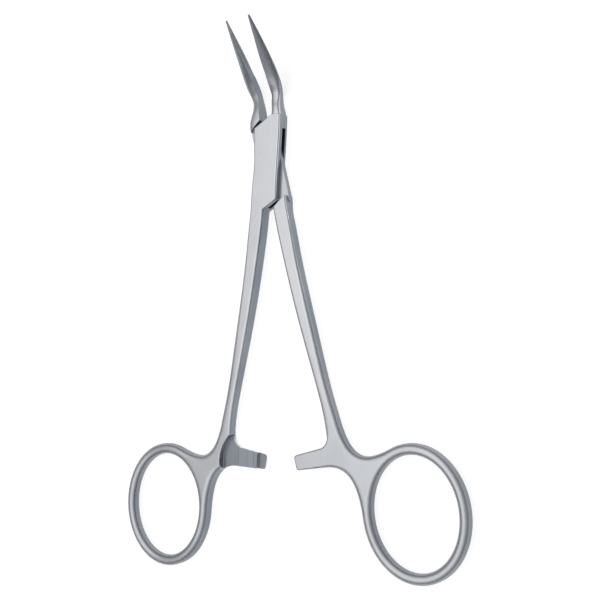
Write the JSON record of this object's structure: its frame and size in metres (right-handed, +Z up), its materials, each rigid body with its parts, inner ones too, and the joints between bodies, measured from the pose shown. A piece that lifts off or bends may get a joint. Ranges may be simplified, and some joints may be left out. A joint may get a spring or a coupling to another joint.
{
  "type": "root splinter forceps",
  "caption": "Box-lock forceps with fine angled serrated jaws, finger rings and a ratchet, for lifting out root tips and splinters.",
  "frame": {"origin": "on the pivot axis, at the flat back of the box lock, which lies on the table", "axes": "+Z up off the table and along the pivot axis, the way the jaws bend; +Y from the rings to the jaws along the middle of the open forceps; +X towards the boxed half's jaw"},
  "size_m": [0.0992, 0.1367, 0.0149],
  "materials": {
    "satin_steel": "satin brushed stainless steel",
    "pin_steel": "satin stainless steel, ground flush"
  },
  "bodies": {
    "boxed_body": {"female_half": "satin_steel", "pivot_pin": "pin_steel"},
    "plain_body": {"male_half": "satin_steel"}
  },
  "joints": [
    {"name": "pivot", "type": "hinge", "parent": "boxed_body", "child": "plain_body", "pos_m": [0, 0, 0], "axis": [0, 0, 1], "range_deg": [-11, 35]}
  ]
}
